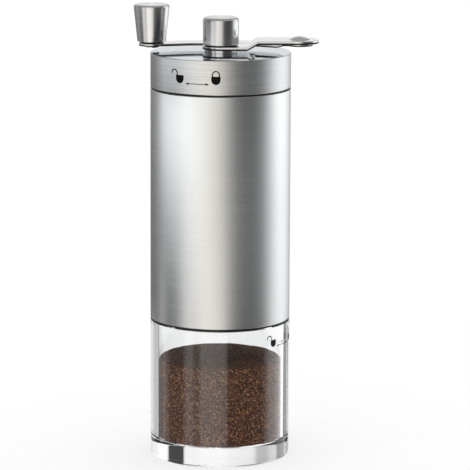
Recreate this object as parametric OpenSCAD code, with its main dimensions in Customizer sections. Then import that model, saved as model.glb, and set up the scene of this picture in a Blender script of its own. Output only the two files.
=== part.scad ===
// Hand crank coffee grinder: a glass jar, a steel-sleeved body with a conical burr mill,
// and a lid that carries a folding crank. Millimetres, +Z up. The origin is the centre of
// the jar's base, +X points from the axis to the crank's fold rivet, and the front is -Y.

/* [Body] */
// Outside diameter of the body, the jar and the lid
body_d = 60; // [58:0.5:70]
// Height of the steel sleeve
sleeve_h = 99.4; // [90:0.1:130]
// Wall of the steel sleeve
sleeve_wall = 0.8; // [0.6:0.05:1.2]
// Wall of the plastic liners inside the sleeve
liner_wall = 2.2; // [2:0.1:3]
// Thickness of the black seam flanges of the liners
seam_t = 0.6; // [0.4:0.05:1]
// How far the seam flanges stand back from the sleeve's outside
seam_inset = 0.1; // [0:0.05:0.4]
// Play between a seam flange and the part that turns against it
seam_gap = 0.1; // [0.05:0.01:0.3]

/* [Jar] */
// Height of the jar up to its shoulder
jar_h = 59.6; // [45:0.1:90]
// Wall of the jar
jar_wall = 3.45; // [2.5:0.05:5]
// Thickness of the jar's solid base
jar_base_t = 7.8; // [4:0.1:14]
// Radius of the rounding at the jar's foot
jar_foot_r = 1.2; // [0.4:0.1:2.5]
// Height of the jar's neck above the shoulder
neck_h = 9; // [8:0.1:10]
// Wall of the jar's neck
neck_wall = 2.2; // [1.8:0.1:3]
// How far the cavity keeps narrowing inside the neck, above the shoulder
neck_root = 1.2; // [0:0.1:2]
// Height of the jar's lugs above the shoulder
neck_lug_z = 4.6; // [4:0.1:5.5]

/* [Bayonets] */
// Number of lugs on the jar and on the lid
lug_count = 3; // [2:1:3]
// Angle that one lug covers, degrees
lug_a = 20; // [12:1:26]
// Angle from open to locked, degrees
twist_a = 31.3; // [20:0.1:36]
// Height of a lug
lug_t = 1.6; // [1.2:0.1:2.2]
// How far a lug stands out
lug_out = 1.15; // [0.8:0.05:1.4]
// Play around a lug in its groove
lug_play = 0.25; // [0.15:0.05:0.35]
// Play at each end of a lug, degrees
lug_play_a = 1.2; // [0.6:0.1:2]

/* [Lid] */
// Height of the lid's steel cover
lid_h = 14.6; // [13:0.1:20]
// Wall of the lid's cover
cover_wall = 0.8; // [0.6:0.05:1.2]
// Bevel around the cover's top edge
cover_bevel = 0.35; // [0.2:0.05:0.6]
// Wall of the plastic in the lid
insert_wall = 2.1; // [1.5:0.1:2.6]
// Thickness of the plate in the lid
insert_plate = 2.6; // [1.6:0.1:4]
// Depth of the spigot below the lid's edge
spigot_h = 7.9; // [7:0.1:9]
// Height of the lid's lugs below the lid's edge
spigot_lug_z = 4.6; // [4:0.1:5]

/* [Crank] */
// How far the fold rivet stands outside the lid's rim
fold_out = 3.5; // [2:0.1:15]
// Width of the inner arm
arm_w = 15.6; // [15:0.1:16.4]
// Radius of the inner arm's round end
arm_end_r = 8.2; // [7.8:0.1:10]
// Thickness of the inner arm
arm_t = 1.5; // [1:0.05:2]
// Height that the inner arm steps up
arm_rise = 2.65; // [2.5:0.05:4]
// Where the inner arm's step begins, from the axis
ramp_x = 11.3; // [11:0.1:14]
// Length of the inner arm's step
ramp_l = 4.5; // [4:0.1:6]
// Gap between the lid's top and the underside of the hub
hub_gap = 1.3; // [1.1:0.05:2]
// How far the folded knob's centre lies inside the lid's rim, along X
knob_in = 0.55; // [-6:0.05:2]
// Knob centre, along Y
knob_y = 7; // [6:0.1:9]
// Width of the outer arm
arm2_w = 9.8; // [8:0.1:10.4]
// Thickness of the outer arm
arm2_t = 1.05; // [0.8:0.05:1.1]
// Radius of the outer arm's eye around the fold rivet
eye_r = 5.6; // [5.2:0.1:6.4]
// Gap between the two arms at the eye
eye_gap = 0.05; // [0.03:0.01:0.1]
// Clearance of the outer arm from the hub and the step
arm_clear = 0.35; // [0.2:0.05:0.6]
// Radius of the fold rivet's domed head
rivet_r = 4.7; // [4:0.1:6]
// Height of the fold rivet's domed head
rivet_h = 1.5; // [1:0.1:2]
// Radius of the fold rivet's shank
rivet_shank_r = 2.5; // [2:0.1:3]

/* [Knob and nut] */
// Radius of the knob's foot
knob_r0 = 6.3; // [5:0.1:7]
// Radius of the knob's head
knob_r1 = 8; // [6.5:0.1:9]
// Height of the knob
knob_h = 16.7; // [14:0.1:24]
// Radius of the knob's pin
knob_pin_r = 2; // [1.5:0.1:2.5]
// Radius of the cap nut
nut_r = 7.7; // [6.5:0.1:7.8]
// Height of the cap nut
nut_h = 12.45; // [10:0.05:16]
// Rounding of the knob's and the nut's top edges
top_round = 0.8; // [0.4:0.1:1.2]
// Height of the slight dome on the knob and the nut
top_dome = 0.3; // [0.1:0.05:0.6]

/* [Mill] */
// Hexagon of the drive shaft, across flats
shaft_af = 6; // [5:0.1:6.4]
// Radius of the shaft's thread for the adjusting nut
thread_r = 2.9; // [2:0.1:2.9]
// Travel of the cone burr from fine to coarse
burr_travel = 1.5; // [0.8:0.1:1.5]
// Wall of the housing around the ring burr
pocket_wall = 4.05; // [3.8:0.05:5]
// Height of the ring burr
ring_h = 13.4; // [11:0.1:16]
// Wall of the ring burr at its lower edge
ring_wall = 3.35; // [2.5:0.05:4]
// Wall of the ring burr at its mouth
ring_mouth_wall = 6.75; // [5.5:0.05:7.5]
// Radius of the cone burr's tip
cone_tip_r = 8.2; // [7.6:0.1:8.6]
// Height of the cone burr
cone_h = 18; // [15:0.1:19]
// Grinding gap at the burrs' lower edges, set to fine
grind_gap = 0.5; // [0.3:0.05:0.8]
// Radius of the adjusting nut
adjust_r = 11; // [9:0.1:14]
// Height of the adjusting nut
adjust_h = 5.2; // [4:0.1:5.4]
// Lobes on the adjusting nut
adjust_lobes = 10; // [6:1:14]
// Mean radius of the spring
spring_r = 4.9; // [4.5:0.1:6]
// Radius of the spring's wire
spring_wire_r = 0.5; // [0.3:0.05:0.7]
// Turns of the spring
spring_turns = 5; // [3:0.5:7]
// Height of the bean hopper's funnel
funnel_h = 12; // [10:0.1:16]
// Height of the bearing bracket's hub
bracket_h = 13; // [10:0.1:18]

/* [Fits] */
// Radial clearance of a running fit
run_fit = 0.05; // [0.02:0.01:0.08]
// Clearance between fixed parts that are pushed together
push_fit = 0.05; // [0.02:0.01:0.1]
// Radial clearance of the jar's neck and the lid's spigot in the body
neck_gap = 0.3; // [0.2:0.05:0.4]

/* [Hidden] */
$fn = 96;
EPS = 0.01;
CUT = 1;

// Heights
z_seam = jar_h + seam_gap;
z_sleeve = z_seam + seam_t;
z_collar = z_sleeve + sleeve_h;
z_mouth = z_collar + seam_t;
z_lid = z_mouth + seam_gap;
z_top = z_lid + lid_h;

// Radii of the body
body_r = body_d / 2;
liner_ro = body_r - sleeve_wall - push_fit;
liner_ri = liner_ro - liner_wall;
seam_r = body_r - seam_inset;
neck_ro = liner_ri - neck_gap;
neck_ri = neck_ro - neck_wall;
jar_ri = body_r - jar_wall;
lug_ro = neck_ro + lug_out;
groove_r = lug_ro + lug_play;
lug_root = 1;
slot_step = 0.05;
track_over_a = 0.4;
open_a = 90;

// Jar seal: a round ring in a groove of the neck
seal_wire_r = 0.6;
seal_inset = 0.45;
seal_rise = 2.2;
seal_play = 0.06;
seal_r = neck_ro - seal_inset;
seal_z = jar_h + seal_rise;
seal_slot = seal_wire_r + seal_play;

// Mill, from below: adjusting nut, carrier, burrs, deck
hex_r = hex_corner_r(shaft_af);
mill_gap = 0.1;
pocket_gap = 0.4;
pocket_ro = neck_ri - pocket_gap;
ring_r = pocket_ro - pocket_wall - push_fit;
ring_mouth_r = ring_r - ring_mouth_wall;
land_r = ring_r - ring_wall;
cone_r = land_r - grind_gap;
adjust_drop = 0.6;
adjust_z = z_sleeve + burr_travel - adjust_drop;
carrier_z = adjust_z + adjust_h + mill_gap;
carrier_t = 2.4;
carrier_inset = 2;
carrier_r = cone_r - carrier_inset;
cone_tip_wall = 2.7;
carrier_hex_r = hex_corner_r(2 * (cone_tip_r - cone_tip_wall));
cone_z = carrier_z + carrier_t + mill_gap;
cone_land = 2;
cone_tip_drop = 1;
cone_top = cone_z + cone_h;
land_overlap = 0.5;
ring_z = cone_z + cone_land - land_overlap;
ring_land = 2;
retainer_t = 2.2;
retainer_lip = 2;
deck_t = 2.4;
deck_z = z_sleeve + max(neck_h, ring_z - z_sleeve) + deck_t;
lip_z = ring_z + ring_h + push_fit;
lip_t = 2.1;
lip_w = 3;
hopper_z = lip_z + lip_t;
throat_r = ring_r - lip_w;
funnel_out = 3.4;
ledge_r = throat_r + funnel_out;
ledge_z = hopper_z + funnel_h;
ear_a = 14;
ear_out = 1.2;
ear_h = 3;
ear_play_a = 0.5;

// Bearing bracket, bushes and shaft
bracket_raise = 0.9;
bracket_ring_t = 5;
bracket_ring_w = liner_ri - ledge_r - bracket_raise;
bracket_arm_w = 5;
bracket_arm_root = 1;
bracket_arm_at = 90;
hub_r = 8;
bush_ro = 5;
bush_ri = hex_r + run_fit;
bush_flange_r = 6.5;
bush_flange_t = 1;
bush_l = 5.5;
hub_z0 = ledge_z + bracket_raise;
hub_z1 = hub_z0 + bracket_h;
washer_t = 0.6;
clip_t = 0.8;
clip_depth = 0.45;
clip_w = 2;
shaft_clip_z = hub_z1 + bush_flange_t + washer_t + 2 * mill_gap;
shaft_inset = 0.3;
shaft_z0 = z_sleeve + shaft_inset;
hex_inset = 2;
hex_z0 = carrier_z + hex_inset;
spring_z1 = hub_z0 - bush_flange_t - washer_t - 2 * mill_gap;
spring_z0 = cone_top - cone_tip_drop + mill_gap;
spring_sides = 8;
spring_steps = 14;
washer_r = bush_flange_r - 0.4;

// Screws that hold the bracket to the hopper's ledge and the retainer to the housing
screw_count = 3;
screw_l = 7;
screw_spare = 1;
screw_head_h = 1.4;
bracket_screw_r = 1.1;
bracket_head_r = 2;
bracket_screw_at = 30;
bracket_screw_ring = liner_ri - bracket_ring_w / 2 - 0.2;
retainer_screw_r = 0.9;
retainer_head_r = 1.6;
retainer_screw_at = 90;
retainer_screw_ring = (ring_r + pocket_ro) / 2 + 0.1;
ear_at = 30;

// Lid bearing and crank spindle
spindle_r = 5;
lid_bush_ro = 7;
lid_bush_flange_r = 8.5;
lid_bush_flange_t = 1.5;
lid_bush_rise = 0.2;
boss_wall = 2.4;
boss_h = 16;
collar_r = 7;
spindle_drop = 14;
spindle_z0 = z_lid - spindle_drop;
socket_l = 18;
socket_gap = 1;
shaft_z1 = spindle_z0 + socket_l - socket_gap;
lid_bush_z0 = z_top - boss_h;
spindle_clip_z = lid_bush_z0 - lid_bush_flange_t - mill_gap - clip_t;
spindle_square = 7;
stud_r = 3;
stud_h = 9;

// Crank heights and outline
fold_x = body_r + fold_out;
knob_x = knob_in - body_r;
arm_z = z_top + hub_gap;
nut_z = arm_z + arm_t;
raised_z = arm_z + arm_rise;
arm2_top = raised_z - eye_gap;
eye_z = arm2_top - arm2_t;
arm2_z = nut_z + mill_gap / 2 - arm2_t;
pass_share = 0.72;
pass_x = ramp_x + ramp_l * pass_share;
pass_y = arm_w / 2 + arm_clear;
nut_relief = 0.4;
bend_y = pass_y + arm2_w / 2 - nut_relief;
bend_near_x = 8;
bend_far_x = -14;
bend_far_drop = 1.4;
bend_a = [bend_far_x, bend_y - bend_far_drop];
bend_b = [bend_near_x, bend_y];
knob_at = [knob_x, knob_y];
fold_at = [fold_x, 0];
eye_step_gap = 1;
eye_step_x = fold_x - eye_r - eye_step_gap;
eye_step_l = 3;
rivet_flare = arm2_t - 0.1;
knob_gap = 0.3;
knob_z = arm2_z + arm2_t + knob_gap;
knob_eye_out = 0.7;
knob_eye_r = arm2_w / 2 + knob_eye_out;
bore_spare = 0.5;
pin_head_h = 0.8;
pin_head_r = 3.3;
pin_head_bevel = 0.5;
pin_cover = 4.5;
pin_l = knob_h - pin_cover;
snap_t = 0.8;
snap_out = 0.5;
snap_down = 3;
snap_slit = 1;

// A tube from z0 to z1.
module tube(ro, ri, z0, z1) {
    translate([0, 0, z0]) difference() {
        cylinder(r = ro, h = z1 - z0);
        translate([0, 0, -CUT]) cylinder(r = ri, h = z1 - z0 + 2 * CUT);
    }
}

// Part of a tube that covers an angle, centred on an azimuth.
module sector(ro, ri, z0, z1, at, angle) {
    rotate([0, 0, at - angle / 2]) rotate_extrude(angle = angle)
        translate([ri, z0]) square([ro - ri, z1 - z0]);
}

// Radius over the corners of a hexagon, from its width across flats.
function hex_corner_r(af) = af / 2 / cos(30);

// A hexagonal bar from z0 to z1.
module hex_bar(r, z0, z1) {
    translate([0, 0, z0]) cylinder(r = r, h = z1 - z0, $fn = 6);
}

// A washer with a slit: a snap ring for a shaft.
module snap_ring(ro, ri, z0, t, slit) {
    difference() {
        tube(ro, ri, z0, z0 + t);
        translate([0, -slit / 2, z0 - CUT]) cube([ro + CUT, slit, t + 2 * CUT]);
    }
}

// A flanged bush with its flange at z0 on the side that up points to.
module flanged_bush(z0, up) {
    flange0 = up > 0 ? z0 : z0 - bush_flange_t;
    body0 = up > 0 ? z0 - bush_l : z0;
    difference() {
        union() {
            translate([0, 0, flange0]) cylinder(r = bush_flange_r, h = bush_flange_t);
            translate([0, 0, body0]) cylinder(r = bush_ro, h = bush_l);
        }
        translate([0, 0, body0 - bush_flange_t - CUT])
            cylinder(r = bush_ri, h = bush_l + 2 * bush_flange_t + 2 * CUT);
    }
}

// A cap-head screw whose head rests at z = 0 and whose shank points down.
module screw(shank_r, shank_l, head_r, head_h) {
    difference() {
        union() {
            cylinder(r = head_r, h = head_h);
            translate([0, 0, -shank_l]) cylinder(r = shank_r, h = shank_l + EPS);
        }
        translate([0, 0, head_h / 2]) cylinder(r = shank_r, h = head_h, $fn = 6);
    }
}

// Copies around the axis.
module around(n, first = 0) {
    for (i = [0 : n - 1]) rotate([0, 0, first + i * 360 / n]) children();
}

// Bayonet lugs on the outside of a neck.
module lugs(z0) {
    around(lug_count, open_a) sector(lug_ro, neck_ro - lug_root, z0, z0 + lug_t, 0, lug_a);
}

// Bayonet grooves in a liner's bore: an entry slot out to z_open and a track that turns
// clockwise, seen from above.
module lug_grooves(z0, z_open) {
    slot_a = lug_a + 2 * lug_play_a;
    track_a = slot_a + twist_a + 2 * track_over_a;
    lo = z0 - lug_play;
    hi = z0 + lug_t + lug_play;
    mid = z0 + lug_t / 2;
    around(lug_count, open_a) {
        sector(groove_r - slot_step, liner_ri - lug_root, min(mid, z_open), max(mid, z_open),
               0, slot_a);
        sector(groove_r, liner_ri - lug_root, lo, hi, -twist_a / 2, track_a);
    }
}

// Outline of a turned part with a rounded, slightly domed top: foot radius, head radius,
// height.
module domed_profile(r0, r1, h) {
    edge_z = h - top_dome - top_round;
    foot = 0.3;
    polygon(concat(
        [[0, 0], [r0 - foot, 0], [r0, foot]],
        [for (a = [0 : 15 : 90])
            [r1 - top_round * (1 - cos(a)), edge_z + top_round * sin(a)]],
        [for (t = [0.75, 0.5, 0.25, 0]) [(r1 - top_round) * t, h - top_dome * t * t]]
    ));
}

// The side of a strip at point i of its centre line, s to the left, with mitred corners.
function heading(path, i) = let (d = path[i + 1] - path[i]) d / norm(d);
function leftward(d) = [-d[1], d[0]];
function strip_side(path, i, s) =
    let (a = leftward(heading(path, max(i - 1, 0))),
         b = leftward(heading(path, min(i, len(path) - 2))),
         m = (a + b) / norm(a + b))
    path[i] + m * s / (m * a);

// A strip of width w along a centre line.
module strip(path, w) {
    last = len(path) - 1;
    polygon(concat(
        [for (i = [0 : last]) strip_side(path, i, -w / 2)],
        [for (i = [last : -1 : 0]) strip_side(path, i, w / 2)]
    ));
}

// Gives a plan outline the height of a side profile, both extruded exactly.
module bent_plate(z0, z1) {
    intersection() {
        translate([0, 0, z0 - CUT]) linear_extrude(z1 - z0 + 2 * CUT) children(0);
        rotate([90, 0, 0]) linear_extrude(body_d * 2, center = true) children(1);
    }
}

module lid_cover() {
    color([0.80, 0.80, 0.79]) difference() {
        rotate_extrude() polygon([
            [body_r - cover_wall, z_lid], [body_r, z_lid], [body_r, z_top - cover_bevel],
            [body_r - cover_bevel, z_top], [0, z_top], [0, z_top - cover_wall],
            [body_r - cover_wall, z_top - cover_wall]
        ]);
        translate([0, 0, z_lid]) cylinder(r = lid_bush_ro + push_fit, h = lid_h + CUT);
    }
}

module lid_insert() {
    skirt_ro = body_r - cover_wall - push_fit;
    spigot_ri = neck_ro - insert_wall;
    plate_top = z_top - cover_wall - push_fit;
    spigot_z = z_lid - spigot_h;
    color([0.07, 0.07, 0.075]) difference() {
        union() {
            tube(skirt_ro, skirt_ro - insert_wall, z_lid, plate_top);
            tube(neck_ro, spigot_ri, spigot_z, plate_top);
            translate([0, 0, plate_top - insert_plate])
                cylinder(r = skirt_ro, h = insert_plate);
            translate([0, 0, lid_bush_z0])
                cylinder(r = lid_bush_ro + boss_wall, h = plate_top - lid_bush_z0);
            lugs(z_lid - spigot_lug_z - lug_t);
        }
        translate([0, 0, spigot_z - CUT])
            cylinder(r = lid_bush_ro + run_fit, h = z_top - spigot_z + CUT);
    }
}

module lid_bush() {
    color([0.70, 0.70, 0.71]) difference() {
        union() {
            translate([0, 0, lid_bush_z0])
                cylinder(r = lid_bush_ro, h = boss_h + lid_bush_rise);
            translate([0, 0, lid_bush_z0 - lid_bush_flange_t])
                cylinder(r = lid_bush_flange_r, h = lid_bush_flange_t - EPS);
            translate([0, 0, lid_bush_z0 - EPS * 2]) cylinder(r = lid_bush_ro, h = EPS * 4);
        }
        translate([0, 0, lid_bush_z0 - lid_bush_flange_t - CUT])
            cylinder(r = spindle_r + run_fit, h = boss_h + lid_bush_flange_t + 2 * CUT);
    }
}

module crank_spindle() {
    collar_z = z_top + lid_bush_rise + mill_gap / 2;
    color([0.70, 0.70, 0.71]) difference() {
        union() {
            translate([0, 0, spindle_z0]) cylinder(r = spindle_r, h = collar_z - spindle_z0 + EPS);
            translate([0, 0, collar_z]) cylinder(r = collar_r, h = arm_z - collar_z);
            translate([-spindle_square / 2, -spindle_square / 2, arm_z - EPS])
                cube([spindle_square, spindle_square, arm_t - EPS]);
            translate([0, 0, arm_z - EPS]) cylinder(r = stud_r, h = arm_t + stud_h);
        }
        hex_bar(hex_r + run_fit, spindle_z0 - CUT, spindle_z0 + socket_l);
        tube(spindle_r + CUT, spindle_r - clip_depth, spindle_clip_z, spindle_clip_z + clip_t);
    }
}

module spindle_clip() {
    color([0.35, 0.36, 0.38])
        snap_ring(spindle_r + clip_w, spindle_r - clip_depth, spindle_clip_z, clip_t, clip_w);
}

// Side profile of a strip that steps up by rise, from level z.
module step_profile(z, t, rise, x0, x1, l) {
    polygon([
        [-body_d, z], [x0, z], [x0 + l, z + rise], [x1, z + rise],
        [x1, z + rise + t], [x0 + l, z + rise + t], [x0, z + t], [-body_d, z + t]
    ]);
}

module inner_arm() {
    color([0.76, 0.76, 0.77]) difference() {
        bent_plate(arm_z, raised_z + arm_t) {
            union() {
                circle(d = arm_w);
                translate([0, -arm_w / 2]) square([fold_x, arm_w]);
                translate(fold_at) circle(r = arm_end_r);
            }
            step_profile(arm_z, arm_t, arm_rise, ramp_x, fold_x + body_r, ramp_l);
        }
        translate([-spindle_square / 2 - push_fit, -spindle_square / 2 - push_fit, arm_z - CUT])
            cube([spindle_square + 2 * push_fit, spindle_square + 2 * push_fit,
                  arm_t + 2 * CUT]);
        translate([fold_x, 0, raised_z - CUT])
            cylinder(r = rivet_shank_r + push_fit, h = arm_t + 2 * CUT);
    }
}

module cap_nut() {
    color([0.74, 0.74, 0.75]) translate([0, 0, nut_z]) difference() {
        rotate_extrude() domed_profile(nut_r, nut_r, nut_h);
        translate([0, 0, -CUT]) cylinder(r = stud_r + push_fit, h = stud_h + bore_spare + CUT);
    }
}

module fold_rivet() {
    head_z = raised_z + arm_t;
    dome_r = (rivet_r * rivet_r + rivet_h * rivet_h) / (2 * rivet_h);
    dome_a = asin(rivet_r / dome_r);
    dome_steps = 8;
    color([0.76, 0.76, 0.76]) translate([fold_x, 0, 0]) rotate_extrude() polygon(concat(
        [[0, eye_z], [rivet_shank_r + rivet_flare, eye_z],
         [rivet_shank_r, eye_z + rivet_flare], [rivet_shank_r, head_z], [rivet_r, head_z]],
        [for (i = [1 : dome_steps]) let (a = dome_a * (1 - i / dome_steps))
            [dome_r * sin(a), head_z + rivet_h - dome_r * (1 - cos(a))]]
    ));
}

module outer_arm() {
    flare_r = rivet_shank_r + rivet_flare + run_fit;
    flare_z = eye_z + run_fit / 2;
    color([0.74, 0.75, 0.76]) difference() {
        bent_plate(arm2_z, arm2_top) {
            difference() {
                union() {
                    strip([knob_at, bend_a, bend_b, fold_at], arm2_w);
                    translate(knob_at) circle(r = knob_eye_r);
                    translate(fold_at) circle(r = eye_r);
                }
                circle(r = pass_y + nut_relief);
                translate([0, -pass_y]) square([pass_x, 2 * pass_y]);
            }
            step_profile(arm2_z, arm2_t, eye_z - arm2_z, eye_step_x - eye_step_l,
                         fold_x + body_r, eye_step_l);
        }
        translate([fold_x, 0, 0]) rotate_extrude() polygon([
            [0, eye_z - CUT], [flare_r, eye_z - CUT], [flare_r, flare_z],
            [rivet_shank_r + run_fit, flare_z + rivet_flare],
            [rivet_shank_r + run_fit, arm2_top + CUT], [0, arm2_top + CUT]
        ]);
        translate([knob_x, knob_y, arm2_z - CUT])
            cylinder(r = knob_pin_r + push_fit, h = arm2_t + 2 * CUT);
    }
}

module knob_pin() {
    snap_z = knob_z + pin_l - snap_down;
    color([0.70, 0.70, 0.71]) translate([knob_x, knob_y, 0]) difference() {
        rotate_extrude() polygon([
            [0, arm2_z - pin_head_h], [pin_head_r - pin_head_bevel, arm2_z - pin_head_h],
            [pin_head_r, arm2_z - pin_head_h / 2], [pin_head_r, arm2_z],
            [knob_pin_r, arm2_z], [knob_pin_r, knob_z + pin_l], [0, knob_z + pin_l]
        ]);
        tube(knob_pin_r + CUT, knob_pin_r - clip_depth, snap_z, snap_z + snap_t);
    }
}

module knob_snap_ring() {
    color([0.35, 0.36, 0.38]) translate([knob_x, knob_y, 0])
        snap_ring(knob_pin_r + snap_out, knob_pin_r - clip_depth,
                  knob_z + pin_l - snap_down, snap_t, snap_slit);
}

module knob() {
    snap_z = pin_l - snap_down;
    color([0.74, 0.74, 0.75]) translate([knob_x, knob_y, knob_z]) difference() {
        rotate_extrude() domed_profile(knob_r0, knob_r1, knob_h);
        translate([0, 0, -CUT]) cylinder(r = knob_pin_r + run_fit, h = pin_l + bore_spare + CUT);
        translate([0, 0, snap_z - mill_gap])
            cylinder(r = knob_pin_r + snap_out + mill_gap, h = snap_t + 2 * mill_gap);
    }
}

module sleeve() {
    color([0.78, 0.78, 0.77]) tube(body_r, body_r - sleeve_wall, z_sleeve, z_collar);
}

module hopper() {
    color([0.07, 0.07, 0.075]) difference() {
        rotate_extrude() polygon([
            [throat_r, hopper_z], [liner_ro, hopper_z], [liner_ro, z_collar],
            [seam_r, z_collar], [seam_r, z_mouth], [liner_ri, z_mouth],
            [liner_ri, ledge_z], [ledge_r, ledge_z]
        ]);
        lug_grooves(z_lid - spigot_lug_z - lug_t, z_mouth + CUT);
        around(screw_count, bracket_screw_at)
            translate([bracket_screw_ring, 0, ledge_z - screw_l])
                cylinder(r = bracket_screw_r + push_fit, h = screw_l + CUT);
    }
}

module mill_housing() {
    color([0.06, 0.06, 0.065]) difference() {
        rotate_extrude() polygon([
            [liner_ri, z_seam], [seam_r, z_seam], [seam_r, z_sleeve], [liner_ro, z_sleeve],
            [liner_ro, hopper_z], [throat_r, hopper_z], [throat_r, lip_z],
            [ring_r + push_fit, lip_z], [ring_r + push_fit, ring_z], [pocket_ro, ring_z],
            [pocket_ro, deck_z], [liner_ri, deck_z]
        ]);
        lug_grooves(jar_h + neck_lug_z, z_seam - CUT);
        around(screw_count, ear_at)
            sector(ring_r + ear_out + push_fit, ring_r - CUT, ring_z - CUT,
                   ring_z + ear_h + push_fit, 0, ear_a + 2 * ear_play_a);
        around(screw_count, retainer_screw_at) translate([retainer_screw_ring, 0, ring_z - CUT])
            cylinder(r = retainer_screw_r + push_fit, h = screw_l + CUT);
    }
}

module bearing_bracket() {
    color([0.10, 0.10, 0.105]) difference() {
        union() {
            tube(liner_ri - push_fit, liner_ri - bracket_ring_w, ledge_z,
                 ledge_z + bracket_ring_t);
            translate([0, 0, hub_z0]) cylinder(r = hub_r, h = bracket_h);
            around(screw_count, bracket_arm_at)
                translate([bush_ro + bracket_arm_root, -bracket_arm_w / 2, hub_z0])
                    cube([liner_ri - bracket_ring_w / 2 - bush_ro - bracket_arm_root,
                          bracket_arm_w, bracket_ring_t - bracket_raise]);
        }
        translate([0, 0, hub_z0 - CUT]) cylinder(r = bush_ro + push_fit, h = bracket_h + 2 * CUT);
        around(screw_count, bracket_screw_at) translate([bracket_screw_ring, 0, ledge_z - CUT])
            cylinder(r = bracket_screw_r + push_fit, h = bracket_ring_t + 2 * CUT);
    }
}

module bracket_screws() {
    color([0.62, 0.62, 0.63]) around(screw_count, bracket_screw_at)
        translate([bracket_screw_ring, 0, ledge_z + bracket_ring_t])
            screw(bracket_screw_r, bracket_ring_t + screw_l - screw_spare, bracket_head_r,
                  screw_head_h);
}

module upper_bush() {
    color([0.72, 0.60, 0.35]) flanged_bush(hub_z1, 1);
}

module lower_bush() {
    color([0.72, 0.60, 0.35]) flanged_bush(hub_z0, -1);
}

module ring_burr() {
    mouth_z = ring_z + ring_h;
    grooves = 18;
    groove_w = 1.2;
    groove_depth = 1.4;
    groove_turn = 18;
    groove_in = 1;
    groove_z = ring_z + ring_land + 1;
    color([0.93, 0.92, 0.89]) difference() {
        union() {
            rotate_extrude() polygon([
                [land_r, ring_z], [ring_r, ring_z], [ring_r, mouth_z],
                [ring_mouth_r, mouth_z], [land_r, ring_z + ring_land]
            ]);
            around(screw_count, ear_at)
                sector(ring_r + ear_out, ring_r - CUT, ring_z, ring_z + ear_h, 0, ear_a);
        }
        around(grooves) translate([ring_mouth_r - groove_in, -groove_w / 2, groove_z])
            rotate([0, 0, groove_turn]) cube([groove_in + groove_depth, groove_w, ring_h]);
    }
}

module burr_retainer() {
    color([0.10, 0.10, 0.105]) difference() {
        tube(pocket_ro, ring_r - retainer_lip, ring_z - retainer_t, ring_z);
        around(screw_count, retainer_screw_at)
            translate([retainer_screw_ring, 0, ring_z - retainer_t - CUT])
                cylinder(r = retainer_screw_r + push_fit, h = retainer_t + 2 * CUT);
    }
}

module retainer_screws() {
    color([0.62, 0.62, 0.63]) around(screw_count, retainer_screw_at)
        translate([retainer_screw_ring, 0, ring_z - retainer_t]) mirror([0, 0, 1])
            screw(retainer_screw_r, retainer_t + screw_l - screw_spare, retainer_head_r,
                  screw_head_h);
}

module drive_shaft() {
    color([0.66, 0.66, 0.68]) difference() {
        union() {
            translate([0, 0, shaft_z0]) cylinder(r = thread_r, h = hex_z0 - shaft_z0 + EPS);
            hex_bar(hex_r, hex_z0, shaft_z1);
        }
        tube(hex_r + CUT, hex_r - 2 * clip_depth, shaft_clip_z, shaft_clip_z + clip_t);
    }
}

module thrust_washer() {
    z = hub_z1 + bush_flange_t + mill_gap;
    color([0.85, 0.85, 0.82]) tube(washer_r, hex_r + run_fit, z, z + washer_t);
}

module shaft_clip() {
    color([0.35, 0.36, 0.38])
        snap_ring(hex_r + clip_w, hex_r - 2 * clip_depth, shaft_clip_z, clip_t, clip_w);
}

module spring_washer() {
    color([0.70, 0.70, 0.71])
        tube(washer_r, hex_r + run_fit, spring_z1, spring_z1 + washer_t);
}

// Round wire swept along a helix: rings of points around the wire's centre line.
module burr_spring() {
    n = round(spring_turns * spring_steps);
    h = spring_z1 - 2 * spring_wire_r - spring_z0 - mill_gap;
    pts = [for (i = [0 : n]) let (a = i / spring_steps * 360, z = spring_z0 + h * i / n)
        for (j = [0 : spring_sides - 1]) let (b = j / spring_sides * 360,
            r = spring_r + spring_wire_r * cos(b))
            [r * cos(a), r * sin(a), z + spring_wire_r * (1 + sin(b))]];
    function at(i, j) = i * spring_sides + j % spring_sides;
    color([0.75, 0.75, 0.76]) polyhedron(
        points = pts,
        faces = concat(
            [[for (j = [0 : spring_sides - 1]) at(0, j)]],
            [for (i = [0 : n - 1], j = [0 : spring_sides - 1])
                [at(i, j), at(i + 1, j), at(i + 1, j + 1), at(i, j + 1)]],
            [[for (j = [spring_sides - 1 : -1 : 0]) at(n, j)]]
        )
    );
}

module cone_burr() {
    grooves = 12;
    groove_w = 1.3;
    groove_depth = 0.8;
    groove_turn = -20;
    groove_out = 8;
    groove_z = cone_z + cone_land + 4;
    color([0.93, 0.92, 0.89]) difference() {
        rotate_extrude() polygon([
            [0, cone_z], [cone_r, cone_z], [cone_r, cone_z + cone_land],
            [cone_tip_r, cone_top], [0, cone_top]
        ]);
        hex_bar(carrier_hex_r + push_fit, cone_z - CUT, cone_top + CUT);
        around(grooves) translate([cone_tip_r - groove_depth, -groove_w / 2, groove_z])
            rotate([0, 0, groove_turn]) cube([groove_out, groove_w, cone_h]);
    }
}

module burr_carrier() {
    color([0.12, 0.12, 0.125]) difference() {
        union() {
            translate([0, 0, carrier_z]) cylinder(r = carrier_r, h = carrier_t);
            hex_bar(carrier_hex_r, carrier_z, cone_top - cone_tip_drop);
        }
        hex_bar(hex_r + run_fit, carrier_z - CUT, cone_top + CUT);
    }
}

module adjusting_nut() {
    scallop_share = 0.45;
    scallop_r = PI * adjust_r / adjust_lobes * scallop_share;
    scallop_out = 0.35 * scallop_r;
    color([0.10, 0.10, 0.105]) translate([0, 0, adjust_z]) linear_extrude(adjust_h)
        difference() {
            circle(r = adjust_r);
            circle(r = thread_r + run_fit);
            around(adjust_lobes) translate([adjust_r + scallop_out, 0])
                circle(r = scallop_r);
        }
}

module jar_seal() {
    color([0.85, 0.86, 0.86]) rotate_extrude() translate([seal_r, seal_z])
        circle(r = seal_wire_r);
}

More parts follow.
